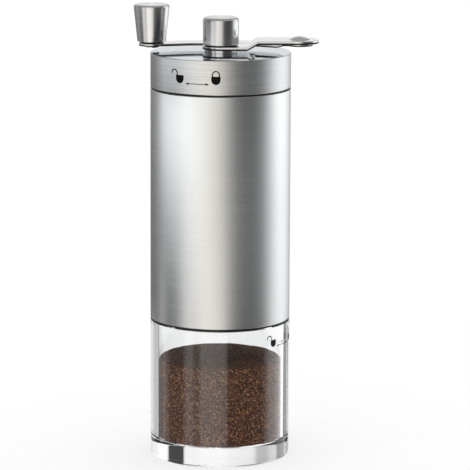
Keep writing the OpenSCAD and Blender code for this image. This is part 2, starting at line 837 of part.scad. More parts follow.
module jar() {
    foot = jar_foot_r;
    shoulder_bevel = 0.3;
    lip_bevel = 0.5;
    neck_top = jar_h + neck_h;
    color([0.85, 0.90, 0.92, 0.35]) difference() {
        union() {
            rotate_extrude() polygon(concat(
                [[0, 0]],
                [for (a = [-90 : 15 : 0])
                    [body_r - foot + foot * cos(a), foot + foot * sin(a)]],
                [[body_r, jar_h - shoulder_bevel], [body_r - shoulder_bevel, jar_h],
                 [neck_ro, jar_h], [neck_ro, neck_top - lip_bevel],
                 [neck_ro - lip_bevel, neck_top], [neck_ri + lip_bevel, neck_top],
                 [neck_ri, neck_top - lip_bevel], [neck_ri, jar_h + neck_root],
                 [jar_ri, jar_h + neck_root - (jar_ri - neck_ri)]],
                [for (a = [0 : -15 : -90])
                    [jar_ri - foot + foot * cos(a), jar_base_t + foot + foot * sin(a)]],
                [[0, jar_base_t]]
            ));
            lugs(jar_h + neck_lug_z);
        }
        tube(neck_ro + CUT, seal_r - seal_slot, seal_z - seal_slot, seal_z + seal_slot);
    }
}

lid_cover();
lid_insert();
lid_bush();
crank_spindle();
spindle_clip();
inner_arm();
cap_nut();
fold_rivet();
outer_arm();
knob_pin();
knob_snap_ring();
knob();
sleeve();
hopper();
mill_housing();
bearing_bracket();
bracket_screws();
upper_bush();
lower_bush();
ring_burr();
burr_retainer();
retainer_screws();
drive_shaft();
thrust_washer();
shaft_clip();
spring_washer();
burr_spring();
cone_burr();
burr_carrier();
adjusting_nut();
jar_seal();
jar();
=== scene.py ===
"""Finished surfaces for a hand crank coffee grinder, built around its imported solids.

Metres, +Z up, the jar's base at the origin and the front at -Y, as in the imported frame.
"""

import math

import bmesh
import bpy
from bpy.props import FloatProperty, FloatVectorProperty, IntProperty, PointerProperty
from bpy.types import Operator, Panel, PropertyGroup
from mathutils import Matrix, Vector, noise


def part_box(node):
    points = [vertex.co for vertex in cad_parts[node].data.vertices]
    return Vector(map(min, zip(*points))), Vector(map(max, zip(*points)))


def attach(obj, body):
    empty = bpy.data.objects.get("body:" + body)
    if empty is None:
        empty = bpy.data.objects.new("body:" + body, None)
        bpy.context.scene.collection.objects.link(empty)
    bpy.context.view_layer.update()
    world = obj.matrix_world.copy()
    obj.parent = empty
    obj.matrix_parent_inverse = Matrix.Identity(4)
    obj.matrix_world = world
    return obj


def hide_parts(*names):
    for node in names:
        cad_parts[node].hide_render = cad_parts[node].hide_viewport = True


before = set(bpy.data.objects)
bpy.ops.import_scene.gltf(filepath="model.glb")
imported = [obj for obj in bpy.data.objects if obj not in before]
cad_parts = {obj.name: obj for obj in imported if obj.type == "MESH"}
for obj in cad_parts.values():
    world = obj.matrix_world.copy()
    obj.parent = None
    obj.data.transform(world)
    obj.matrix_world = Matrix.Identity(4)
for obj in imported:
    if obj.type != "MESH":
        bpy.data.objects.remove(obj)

bl_info = {
    "name": "Hand Crank Grinder Finish",
    "version": (1, 0, 0),
    "blender": (4, 5, 0),
    "location": "View3D > Sidebar > Grinder",
    "description": "Dresses the grinder's solids with steel, glass, plastic and ground coffee",
    "category": "Object",
}

MM = 0.001
BODY_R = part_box("jar")[1].x
STEEL_WALL = 0.8 * MM
SHELL_GAP = 0.02 * MM
LID_HOLE_R = 7.05 * MM
ARM_LOW, ARM_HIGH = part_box("inner_arm")[0].z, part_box("inner_arm")[1].z
STRIP_LOW, STRIP_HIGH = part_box("outer_arm")[0].z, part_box("outer_arm")[1].z
ARM_T, STRIP_T = 1.5 * MM, 1.05 * MM
INNER_ARM = (ARM_LOW, ARM_HIGH - ARM_LOW - ARM_T, 11.3 * MM, 15.8 * MM, ARM_T)
OUTER_ARM = (STRIP_LOW, STRIP_HIGH - STRIP_LOW - STRIP_T, 23.9 * MM, 26.9 * MM, STRIP_T)
NUT_R = 7.7 * MM
KNOB_FOOT_R, KNOB_HEAD_R, KNOB_ASIDE = 6.1 * MM, 7.8 * MM, -0.14 * MM
CROWN_RISE, FOOT_GROOVE, FOOT_INSET = 0.3 * MM, 0.55 * MM, 0.9 * MM
JAR_BORE_R, JAR_BASE_TOP = 26.55 * MM, 7.8 * MM
TURNED_COLUMNS, COFFEE_COLUMNS = 128, 120
BRUSH_DEPTH = 0.001 * MM
POLISH_DEPTH = 0.02 * MM


# ---------------------------------------------------------------- node trees


class Sock:
    """A socket's value; arithmetic on it adds Math nodes to its tree."""

    def __init__(self, tree, socket):
        self.tree = tree
        self.socket = socket

    def math(self, operation, *values):
        sockets = dict(enumerate(values))
        return self.tree.add("ShaderNodeMath", {"operation": operation}, sockets)

    def __add__(self, other):
        return self.math("ADD", self, other)

    def __sub__(self, other):
        return self.math("SUBTRACT", self, other)

    def __rsub__(self, other):
        return self.math("SUBTRACT", other, self)

    def __mul__(self, other):
        return self.math("MULTIPLY", self, other)

    __radd__ = __add__
    __rmul__ = __mul__


class Tree:
    """A node tree that grows by one method."""

    def __init__(self, nodes_owner):
        self.tree = nodes_owner
        self.tree.nodes.clear()

    def add(self, kind, settings=None, sockets=None, out=0):
        """Adds a node: settings first, then the values or links of its sockets."""
        node = self.tree.nodes.new(kind)
        for key, value in (settings or {}).items():
            if key == "stops":
                self.set_stops(node.color_ramp, value)
            else:
                setattr(node, key, value)
        for key, value in (sockets or {}).items():
            if isinstance(value, Sock):
                self.tree.links.new(value.socket, node.inputs[key])
            else:
                node.inputs[key].default_value = value
        return Sock(self, node.outputs[out]) if len(node.outputs) else node

    @staticmethod
    def set_stops(ramp, stops):
        while len(ramp.elements) < len(stops):
            ramp.elements.new(1.0)
        for element, (position, colour) in zip(ramp.elements, stops):
            element.position = position
            element.color = (*colour, 1.0)


def material(name):
    """An empty material and its tree."""
    made = bpy.data.materials.new(name)
    made.use_nodes = True
    return made, Tree(made.node_tree)


def place(tree, scale=(1.0, 1.0, 1.0)):
    """Object coordinates, stretched by scale."""
    here = tree.add("ShaderNodeTexCoord", out="Object")
    return tree.add("ShaderNodeMapping", None, {"Vector": here, "Scale": scale})


def along_axis(tree, vector, axis):
    """One axis, "X", "Y" or "Z", of a vector; the object's coordinates if it is None."""
    if vector is None:
        vector = tree.add("ShaderNodeTexCoord", out="Object")
    return tree.add("ShaderNodeSeparateXYZ", None, {"Vector": vector}, axis)


def even(scale):
    """The same scale along each axis."""
    return (scale, scale, scale)


def grain(tree, scale, detail=3.0):
    """Noise from 0 to 1 whose features are 1 / scale metres along each axis."""
    sockets = {"Vector": place(tree, scale), "Scale": 1.0, "Detail": detail}
    return tree.add("ShaderNodeTexNoise", None, sockets, "Fac")


def tinted(tree, colour, shade):
    """A colour multiplied by a value."""
    sockets = {0: tuple(colour), "Scale": shade}
    return tree.add("ShaderNodeVectorMath", {"operation": "SCALE"}, sockets)


def ray_is(tree, kind):
    """An output of the Light Path node, by name."""
    return tree.add("ShaderNodeLightPath", out=kind)


def bump(tree, height, strength, distance):
    """A bumped normal from a height."""
    sockets = {"Height": height, "Strength": strength, "Distance": distance}
    return tree.add("ShaderNodeBump", None, sockets)


def principled(tree, sockets):
    """The surface of the material, from a Principled shader's sockets."""
    surface = tree.add("ShaderNodeBsdfPrincipled", None, sockets)
    tree.add("ShaderNodeOutputMaterial", None, {"Surface": surface})
    return surface


# ---------------------------------------------------------------- finishes


def brushed_steel(name, colour, roughness, lines, streak=0.05, anisotropic=0.0, lean=0.0):
    """Steel with fine brushing; lines is the number of grain features per metre by axis.

    lean is the slope by which a wall's sheen faces down, as on a drawn cup pressed with draft.
    """
    made, tree = material(name)
    fine = grain(tree, lines)
    coarse = grain(tree, tuple(n * 0.28 for n in lines), 2.0)
    smudge = grain(tree, (42.0, 42.0, 30.0), 2.0)
    brushing = fine * 0.6 + coarse * 0.4
    shade = brushing * (2 * streak) + (1.0 - streak)
    rough = brushing * 0.10 + smudge * 0.05 + (roughness - 0.075)
    relief = brushing * BRUSH_DEPTH
    if lean:
        relief = relief + along_axis(tree, None, "Z") * lean
    principled(tree, {
        "Base Color": tinted(tree, colour, shade),
        "Metallic": 1.0,
        "Roughness": rough,
        "Anisotropic": anisotropic,
        "Normal": bump(tree, relief, 1.0, 1.0),
    })
    return made


def pressed_steel(name, colour, plate):
    """Polished strip whose cut sides are bright above and painted dark below: painted shade and
    painted dark reflection on their lower half.

    plate holds the strip's underside before its step, its rise, where the step starts and
    ends along X, and its thickness.
    """
    low, rise, start, end, thickness = plate
    made, tree = material(name)
    polish = grain(tree, (60.0, 3200.0, 60.0))
    shade_edge_noise = grain(tree, (1500.0, 1500.0, 400.0), 2.0)
    x, z = (along_axis(tree, None, axis) for axis in "XZ")
    under = tree.add("ShaderNodeMapRange", None, {
        "Value": x, "From Min": start, "From Max": end, "To Min": low, "To Max": low + rise})
    depth = (z - under) * (1.0 / thickness) + shade_edge_noise * 0.08
    # Painted shade and painted dark reflection: below half the strip's thickness its upright
    # sides go nearly black, with a noisy edge.
    painted_lower_shade = tree.add("ShaderNodeMapRange", None, {
        "Value": depth, "From Min": 0.50, "From Max": 0.58, "To Min": 1.0, "To Max": 0.0})
    facing = tree.add("ShaderNodeNewGeometry", out="True Normal")
    upward = along_axis(tree, facing, "Z")
    upright = upward.math("LESS_THAN", upward.math("ABSOLUTE", upward), 0.75)
    dark = painted_lower_shade * upright
    principled(tree, {
        "Base Color": tinted(tree, colour, (polish * 0.06 + 0.97) * (dark * -0.96 + 1.0)),
        "Metallic": 1.0,
        "Roughness": polish * 0.1 + dark * 0.3 + 0.15,
        "Normal": bump(tree, polish, 0.05, POLISH_DEPTH),
    })
    return made


def mirror_steel(name, colour, roughness):
    """Polished steel with faint wiping marks."""
    made, tree = material(name)
    wipes = grain(tree, (60.0, 400.0, 60.0), 4.0)
    haze = grain(tree, even(35.0), 2.0)
    principled(tree, {
        "Base Color": tinted(tree, colour, haze * 0.04 + 0.98),
        "Metallic": 1.0,
        "Roughness": wipes * 0.05 + haze * 0.03 + (roughness - 0.03),
        "Normal": bump(tree, wipes, 0.03, POLISH_DEPTH),
    })
    return made


def moulded_plastic(name, colour, roughness):
    """Plastic with a fine spark-eroded texture and a little handling sheen."""
    made, tree = material(name)
    pits = grain(tree, even(5200.0), 2.0)
    wear = grain(tree, even(90.0), 3.0)
    principled(tree, {
        "Base Color": tinted(tree, colour, wear * 0.5 + 0.75),
        "Roughness": wear * 0.16 + pits * 0.10 + (roughness - 0.13),
        "Specular IOR Level": 0.3,
        "Normal": bump(tree, pits, 0.22, 0.04 * MM),
    })
    return made


def cast_bronze(name, colour):
    """Sintered bronze: open pores and a darker oil film."""
    made, tree = material(name)
    film = grain(tree, even(180.0), 3.0)
    pores = tree.add("ShaderNodeTexVoronoi", None,
                     {"Vector": place(tree), "Scale": 2600.0}, "Distance")
    principled(tree, {
        "Base Color": tinted(tree, colour, film * 0.5 + 0.7),
        "Metallic": 1.0,
        "Roughness": film * 0.2 + 0.25,
        "Normal": bump(tree, pores, 0.35, 0.05 * MM),
    })
    return made


def fired_ceramic(name, colour):
    """Fired ceramic with a faint grain and coffee stain in patches."""
    made, tree = material(name)
    stain = grain(tree, (160.0, 160.0, 90.0), 4.0)
    sand = grain(tree, even(3000.0), 2.0)
    principled(tree, {
        "Base Color": tinted(tree, colour, stain * 0.25 + 0.85),
        "Roughness": sand * 0.15 + 0.32,
        "Normal": bump(tree, sand, 0.2, 0.04 * MM),
    })
    return made


def soft_silicone(name, colour):
    """Matt silicone with a dusty bloom."""
    made, tree = material(name)
    bloom = grain(tree, even(240.0), 3.0)
    principled(tree, {
        "Base Color": tinted(tree, colour, bloom * 0.2 + 0.9),
        "Roughness": bloom * 0.2 + 0.4,
        "Normal": bump(tree, bloom, 0.15, 0.06 * MM),
    })
    return made


def clear_glass(name, colour):
    """Clear pressed glass that lets lamps through to what it holds."""
    made, tree = material(name)
    shadow = ray_is(tree, "Is Shadow Ray")
    spread = ray_is(tree, "Is Diffuse Ray")
    clear = tree.add("ShaderNodeBsdfPrincipled", None, {
        "Base Color": (*colour, 1.0),
        "Roughness": 0.0,
        "IOR": 1.49,
        "Transmission Weight": 1.0,
    })
    passing = tree.add("ShaderNodeBsdfTransparent", None, {"Color": (*colour, 1.0)})
    lamps = shadow.math("MAXIMUM", shadow, spread)
    mixed = tree.add("ShaderNodeMixShader", None, {0: lamps, 1: clear, 2: passing})
    tree.add("ShaderNodeOutputMaterial", None, {"Surface": mixed})
    return made


def ground_coffee(name, dark, mid, light):
    """Ground coffee: dark roast grains with paler chaff between them."""
    made, tree = material(name)
    cells = tree.add("ShaderNodeTexVoronoi", None,
                     {"Vector": place(tree), "Scale": 2600.0}, "Color")
    pick = tree.add("ShaderNodeSeparateColor", None, {"Color": cells}, "Red")
    stops = [(0.0, dark), (0.35, dark), (0.6, mid), (0.86, mid), (0.97, light), (1.0, light)]
    colour = tree.add("ShaderNodeValToRGB", {"stops": stops}, {"Fac": pick})
    crumb = grain(tree, even(1800.0), 3.0)
    principled(tree, {
        "Base Color": colour,
        "Roughness": crumb * 0.3 + 0.6,
        "Specular IOR Level": 0.15,
        "Normal": bump(tree, crumb, 0.8, 0.3 * MM),
    })
    return made


def screen_ink(name, colour):
    """Printed ink with a slightly uneven edge to its gloss."""
    made, tree = material(name)
    speck = grain(tree, even(2500.0), 2.0)
    principled(tree, {
        "Base Color": tinted(tree, colour, speck * 0.4 + 0.8),
        "Roughness": speck * 0.2 + 0.45,
        "Specular IOR Level": 0.1,
    })
    return made


def finish(name):
    """The finish of that name, made once from the panel's colours."""
    found = bpy.data.materials.get("grinder_" + name)
    if found:
        return found
    c = bpy.context.scene.grinder_colours
    around, along = (24.0, 24.0, 2600.0), (60.0, 3200.0, 60.0)
    lathe = (30.0, 30.0, 3600.0)
    make, *values = {
        "brushed_sleeve": (brushed_steel, c.steel, 0.235, around, 0.08, 0.85),
        "steel_cover": (brushed_steel, c.cover, 0.225, around, 0.24, 0.85, 0.052),
        "polished_steel": (brushed_steel, c.steel, 0.2, along, 0.03),
        "turned_steel": (brushed_steel, c.turned, 0.18, lathe, 0.03, 0.8),
        "inner_arm_steel": (pressed_steel, c.steel, INNER_ARM),
        "outer_arm_steel": (pressed_steel, c.steel, OUTER_ARM),
        "lid_mirror": (mirror_steel, c.mirror, 0.05),
        "bright_steel": (mirror_steel, c.steel, 0.16),
        "spring_steel": (mirror_steel, c.spring, 0.28),
        "bearing_bronze": (cast_bronze, c.bronze),
        "burr_ceramic": (fired_ceramic, c.ceramic),
        "black_plastic": (moulded_plastic, c.plastic, 0.46),
        "white_nylon": (moulded_plastic, c.nylon, 0.5),
        "seal_silicone": (soft_silicone, c.silicone),
        "jar_glass": (clear_glass, c.jar),
        "ground_coffee": (ground_coffee, c.coffee_dark, c.coffee_mid, c.coffee_light),
        "ink": (screen_ink, c.ink),
    }[name]
    return make("grinder_" + name, *values)


# ---------------------------------------------------------------- shapes


def rounded(corners, steps=5):
    """A closed outline of (a, b, radius) corners as points, each corner an arc."""
    points = []
    for i, (a, b, radius) in enumerate(corners):
        here = Vector((a, b))
        if radius <= 0:
            points.append(here)
            continue
        before = (Vector(corners[i - 1][:2]) - here).normalized()
        after = (Vector(corners[(i + 1) % len(corners)][:2]) - here).normalized()
        half = before.angle(after) / 2
        reach = radius / math.tan(half)
        centre = here + (before + after).normalized() * radius / math.sin(half)
        start, end = here + before * reach - centre, here + after * reach - centre
        sweep = start.angle_signed(end)
        for k in range(steps + 1):
            arm = start.copy()
            arm.rotate(Matrix.Rotation(-sweep * k / steps, 2))
            points.append(centre + arm)
    return points


def turned(profile, columns, centre=(0.0, 0.0)):
    """A closed profile of (radius, height) points turned around a vertical axis."""
    bm = bmesh.new()
    rings = []
    for radius, height in profile:
        if radius < 1e-7:
            rings.append([bm.verts.new((centre[0], centre[1], height))] * columns)
            continue
        rings.append([
            bm.verts.new((
                centre[0] + radius * math.sin(2 * math.pi * k / columns),
                centre[1] - radius * math.cos(2 * math.pi * k / columns),
                height,
            ))
            for k in range(columns)
        ])
    for i, upper in enumerate(rings):
        lower = rings[i - 1]
        for k in range(columns):
            corners = [lower[k - 1], lower[k], upper[k], upper[k - 1]]
            face = list(dict.fromkeys(corners))
            if len(face) > 2:
                bm.faces.new(face)
    bmesh.ops.recalc_face_normals(bm, faces=bm.faces)
    return bm


def piece_from(bm, name, *finishes):
    """A new smooth object from a bmesh, with its finishes in slot order."""
    mesh = bpy.data.meshes.new(name)
    bm.to_mesh(mesh)
    bm.free()
    mesh.polygons.foreach_set("use_smooth", [True] * len(mesh.polygons))
    for one in finishes:
        mesh.materials.append(finish(one))
    piece = bpy.data.objects.new(name, mesh)
    bpy.context.scene.collection.objects.link(piece)
    return piece


def applied(piece):
    """The piece with its modifiers turned into a plain mesh."""
    graph = bpy.context.evaluated_depsgraph_get()
    plain = bpy.data.meshes.new_from_object(
        piece.evaluated_get(graph), preserve_all_data_layers=True, depsgraph=graph)
    plain.name = piece.name
    piece.modifiers.clear()
    piece.data = plain
    return piece


def settle(piece, body, slot, *nodes):
    """Weights the normals by face, then hands the piece to its body and hides its solids; slot
    is not used.
    """
    weighted = piece.modifiers.new("Face weights", "WEIGHTED_NORMAL")
    weighted.keep_sharp = True
    applied(piece)
    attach(piece, body)
    if nodes:
        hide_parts(*nodes)
    return piece


def edge_round_copy(node, bend, edge):
    """A merged copy of a solid with its shallow bends and sharp edges rounded."""
    bm = bmesh.new()
    bm.from_mesh(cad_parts[node].data)
    bmesh.ops.remove_doubles(bm, verts=bm.verts, dist=1e-6)
    bmesh.ops.dissolve_limit(bm, angle_limit=math.radians(0.6), verts=bm.verts,
                             edges=bm.edges, use_dissolve_boundaries=False)
    for low, high, width, steps in ((15, 45, bend, 6), (50, 130, edge, 3)):
        if width <= 0:
            continue
        chosen = [
            e for e in bm.edges
            if len(e.link_faces) == 2
            and math.radians(low) < e.calc_face_angle() < math.radians(high)
            and (high > 90 or all(abs(f.normal.z) > 0.5 for f in e.link_faces))
        ]
        bmesh.ops.bevel(bm, geom=chosen, offset=width, segments=steps, profile=0.5,
                        affect="EDGES", clamp_overlap=True)
    return bm


def print_on_body(outlines, name):
    """Thin printed shapes on the body's radius, from outlines of (arc length, height)."""
    ink = bpy.context.scene.grinder_sizes.ink_thickness
    bm = bmesh.new()
    for outline in outlines:
        bm.faces.new([bm.verts.new((a, z, 0.0)) for a, z in outline])
    bmesh.ops.triangulate(bm, faces=bm.faces)
    low = min(v.co.x for v in bm.verts)
    high = max(v.co.x for v in bm.verts)
    step = 0.6 * MM
    for i in range(1, int((high - low) / step) + 1):
        bmesh.ops.bisect_plane(bm, geom=bm.verts[:] + bm.edges[:] + bm.faces[:],
                               plane_co=(low + i * step, 0, 0), plane_no=(1, 0, 0))
    top = bmesh.ops.extrude_face_region(bm, geom=bm.faces[:])["geom"]
    raised = {v for v in top if isinstance(v, bmesh.types.BMVert)}
    for vert in bm.verts:
        radius = BODY_R if vert in raised else BODY_R - ink
        angle = vert.co.x / BODY_R
        vert.co = (radius * math.sin(angle), -radius * math.cos(angle), vert.co.y)
    bmesh.ops.recalc_face_normals(bm, faces=bm.faces)
    return piece_from(bm, name, "ink")


def arc(centre, radius, start, end, steps):
    """Points on an arc, angles in degrees from +a towards +z."""
    turns = [math.radians(start + (end - start) * k / steps) for k in range(steps + 1)]
    return [(centre[0] + radius * math.cos(t), centre[1] + radius * math.sin(t))
            for t in turns]


def line_of(points, width):
    """The outline of a line of that width through the points."""
    sides = ([], [])
    for i, point in enumerate(points):
        ahead = Vector(points[min(i + 1, len(points) - 1)])
        behind = Vector(points[max(i - 1, 0)])
        left = (ahead - behind).normalized().orthogonal() * width / 2
        sides[0].append(tuple(Vector(point) + left))
        sides[1].append(tuple(Vector(point) - left))
    return sides[0] + sides[1][::-1]


def padlock(centre, base, scale, swung):
    """Outlines of a padlock mark; swung is how far its bow stands open to the left."""
    unit = MM * scale
    w, h, bow_r, stroke = 3.9 * unit, 3.35 * unit, 1.45 * unit, 0.48 * unit
    belly = arc((centre, base + w / 2 * 0.94), w / 2, 180, 360, 16)
    body = [(centre - w / 2, base + h)] + belly + [(centre + w / 2, base + h)]
    bow_x = centre - swung
    foot = base + h - 0.1 * MM
    leg = foot + 0.85 * unit
    left_foot = foot + (0.55 * unit if swung else 0.0)
    bow = [(bow_x + bow_r, foot)] + arc((bow_x, leg), bow_r, 0, 180, 14)
    bow.append((bow_x - bow_r, left_foot))
    return [body, line_of(bow, stroke)]


def double_arrow(start, end, height, scale):
    """Outline of a line with an arrowhead at each end."""
    unit = MM * scale
    head, wing, stroke = 1.8 * unit, 0.60 * unit, 0.16 * unit
    barb = head * 0.8
    upper = [(start, 0.0), (start + head, wing), (start + barb, stroke),
             (end - barb, stroke), (end - head, wing), (end, 0.0)]
    lower = [(a, -rise) for a, rise in upper[-2:0:-1]]
    return [[(a, height + rise) for a, rise in upper + lower]]


def around_body(degrees):
    """Arc length on the body for an angle from the front."""
    return math.radians(degrees) * BODY_R


# ---------------------------------------------------------------- settings


def length(name, description, default, low, high):
    """A length on the panel, given in millimetres."""
    return FloatProperty(name=name, description=description, default=default * MM,
                         min=low * MM, max=high * MM, unit="LENGTH", precision=5)


def colour(name, description, default):
    """A scene linear colour on the panel."""
    return FloatVectorProperty(name=name, description=description, default=default,
                               subtype="COLOR", min=0, max=1)


class GrinderSizes(PropertyGroup):
    """Sizes of what is added to the solids."""

    columns: IntProperty(
        name="Columns", description="Faces around a turned piece",
        default=192, min=48, max=384)
    shell_edge: length("Shell Edge", "Rounding of the steel shells' edges", 0.3, 0.05, 0.8)
    knob_edge: length("Knob Edge", "Rounding of the knob's top edge", 1.0, 0.2, 1.6)
    nut_edge: length("Nut Edge", "Rounding of the nut's top edge", 1.4, 0.2, 1.8)
    arm_edge: length("Arm Edge", "Rounding of the arms' edges", 0.3, 0.05, 0.5)
    arm_bend: length("Arm Bend", "Half length of the rounding at the arms' bends",
                     0.9, 0.2, 1.5)
    ink_thickness: length("Ink Thickness", "Thickness of the printed marks",
                          0.03, 0.01, 0.1)
    coffee_top: length("Coffee Level", "Height of the ground coffee's surface",
                       42.5, 12.0, 55.0)
    grain_size: length("Grain Size", "Radius of a coffee grain", 0.2, 0.1, 0.5)
    grains: IntProperty(
        name="Grains", description="Coffee grains per square centimetre",
        default=140, min=10, max=300)
    grain_seed: IntProperty(
        name="Grain Seed", description="Seed of the grains' places", default=4, min=0)


class GrinderColours(PropertyGroup):
    """Colours of the finishes."""

    steel: colour("Steel", "Sleeve, arms and inner steel parts", (0.74, 0.74, 0.735))
    # Painted shade: the lid's steel is a darker copy of the sleeve's steel, standing in for the
    # dimmer reflections on the lid.
    cover: colour("Lid Steel", "Brushed steel of the lid's cover", (0.645, 0.645, 0.64))
    turned: colour("Turned Steel", "Knob and cap nut", (0.66, 0.66, 0.655))
    # Painted reflection: the mirror top's colour is a darker, bluish copy of the steel,
    # standing in for the bluish surroundings it reflects.
    mirror: colour("Mirror Steel", "Polished top of the lid", (0.49, 0.54, 0.58))
    spring: colour("Spring Steel", "Snap rings and spring", (0.42, 0.43, 0.45))
    bronze: colour("Bronze", "Bearing bushes", (0.62, 0.42, 0.20))
    ceramic: colour("Ceramic", "Burrs", (0.80, 0.77, 0.70))
    plastic: colour("Black Plastic", "Liners, bracket and adjusting nut",
                    (0.010, 0.010, 0.011))
    nylon: colour("Nylon", "Thrust washer", (0.72, 0.71, 0.66))
    silicone: colour("Silicone", "Seal of the jar", (0.62, 0.64, 0.64))
    jar: colour("Jar", "Tint of the clear jar", (0.985, 0.99, 0.99))
    coffee_dark: colour("Dark Grains", "Darkest coffee grains", (0.030, 0.012, 0.006))
    coffee_mid: colour("Grains", "Most coffee grains", (0.122, 0.052, 0.028))
    coffee_light: colour("Pale Grains", "Palest coffee grains and chaff",
                         (0.42, 0.215, 0.10))
    ink: colour("Ink", "Printed marks", (0.003, 0.003, 0.0035))
    floor: colour("Floor", "Floor of the stage", (0.93, 0.93, 0.93))


# ---------------------------------------------------------------- pieces


class GRINDER_OT_sleeve(Operator):
    """Make the brushed steel sleeve of the body"""

    bl_idname = "grinder.sleeve"
    bl_label = "Steel Sleeve"

    def execute(self, context):
        sizes = context.scene.grinder_sizes
        low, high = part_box("sleeve")
        outer, inner = high.x - SHELL_GAP, high.x - STEEL_WALL
        edge = sizes.shell_edge
        profile = rounded([
            (inner, low.z, edge / 2), (outer, low.z, edge),
            (outer, high.z, edge), (inner, high.z, edge / 2)])
        piece = piece_from(turned(profile, sizes.columns), "steel_sleeve", "brushed_sleeve")
        settle(piece, "housing", "brushed_sleeve", "sleeve")
        return {"FINISHED"}


class GRINDER_OT_lid_cover(Operator):
    """Make the lid's steel cover: brushed side, mirror top"""

    bl_idname = "grinder.lid_cover"
    bl_label = "Lid Cover"

    def execute(self, context):
        sizes = context.scene.grinder_sizes
        low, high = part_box("lid_cover")
        outer, edge = high.x - SHELL_GAP, sizes.shell_edge
        inner, under = outer - STEEL_WALL, high.z - STEEL_WALL
        profile = rounded([
            (inner, low.z, edge / 2), (outer, low.z, edge), (outer, high.z, edge),
            (LID_HOLE_R, high.z, edge / 2), (LID_HOLE_R, under, 0), (inner, under, 0)])
        bm = turned(profile, sizes.columns)
        for face in bm.faces:
            face.material_index = int(face.normal.z > 0.75)
        piece = piece_from(bm, "lid_shell", "steel_cover", "lid_mirror")
        settle(piece, "lid", "steel_cover", "lid_cover")
        return {"FINISHED"}


class GRINDER_OT_turned_parts(Operator):
    """Make the cap nut and the knob, each with its foot groove painted black as painted shade
    """

    bl_idname = "grinder.turned_parts"
    bl_label = "Nut and Knob"

    def execute(self, context):
        sizes = context.scene.grinder_sizes
        for name, node, body, foot_r, head_r, edge, aside in (
            ("cap_nut_turned", "cap_nut", "crank", NUT_R, NUT_R, sizes.nut_edge, 0.0),
            ("knob_turned", "knob", "knob", KNOB_FOOT_R, KNOB_HEAD_R, sizes.knob_edge,
             KNOB_ASIDE),
        ):
            low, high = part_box(node)
            shoulder, ledge = high.z - CROWN_RISE, low.z + FOOT_GROOVE
            neck_r = foot_r - FOOT_INSET
            profile = rounded([
                (0, low.z, 0), (neck_r, low.z, 0), (neck_r, ledge, 0),
                (foot_r, ledge, 0.15 * MM), (head_r, shoulder, edge), (0, shoulder, 0)], 7)[:-1]
            crown_r = head_r - edge
            for share in (0.8, 0.6, 0.4, 0.2, 0.0):
                profile.append((crown_r * share, high.z - CROWN_RISE * share ** 2))
            centre = ((low.x + high.x) / 2 + aside, (low.y + high.y) / 2)
            bm = turned(profile, TURNED_COLUMNS, centre)
            # Painted shade: the faces of the foot groove take the black plastic finish, a dark
            # band where the shadow gap under the part falls.
            for face in bm.faces:
                middle = face.calc_center_median()
                inside = (middle.xy - Vector(centre)).length < foot_r - 0.1 * MM
                face.material_index = int(inside and middle.z < low.z + 1.2 * FOOT_GROOVE)
            piece = piece_from(bm, name, "turned_steel", "black_plastic")
            settle(piece, body, "polished_steel", node)
        return {"FINISHED"}


class GRINDER_OT_crank_arms(Operator):
    """Make the two arms with rounded edges and bends"""

    bl_idname = "grinder.crank_arms"
    bl_label = "Crank Arms"

    def execute(self, context):
        sizes = context.scene.grinder_sizes
        for name, node, body in (
            ("inner_arm_pressed", "inner_arm", "crank"),
            ("outer_arm_pressed", "outer_arm", "folding_arm"),
        ):
            bm = edge_round_copy(node, sizes.arm_bend, sizes.arm_edge)
            settle(piece_from(bm, name, node + "_steel"), body, "polished_steel", node)
        return {"FINISHED"}


class GRINDER_OT_printed_marks(Operator):
    """Print the open and closed padlocks with their arrow on the lid and the jar"""

    bl_idname = "grinder.printed_marks"
    bl_label = "Printed Marks"

    def execute(self, context):
        for name, body, opened, closed, base, scale in (
            ("lid_marks", "lid", -34.95, -3.85, 165.05 * MM, 1.0),
            ("jar_marks", "jar", 49.6, 80.4, 50.9 * MM, 0.88),
        ):
            shut, wide = around_body(closed), around_body(opened)
            gap = 2.75 * MM * scale
            outlines = padlock(wide, base, scale, gap) + padlock(shut, base, scale, 0.0)
            outlines += double_arrow(wide + gap, shut - gap, base, scale)
            settle(print_on_body(outlines, name), body, "black_plastic")
        return {"FINISHED"}


def dress(node, name):
    """Gives a solid its finish in place of the plain one."""
    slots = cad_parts[node].data.materials
    slots.clear()
    slots.append(finish(name))


class GRINDER_OT_jar(Operator):
    """Give the jar its clear finish"""

    bl_idname = "grinder.jar"
    bl_label = "Jar"

    def execute(self, context):
        dress("jar", "jar_glass")
        return {"FINISHED"}


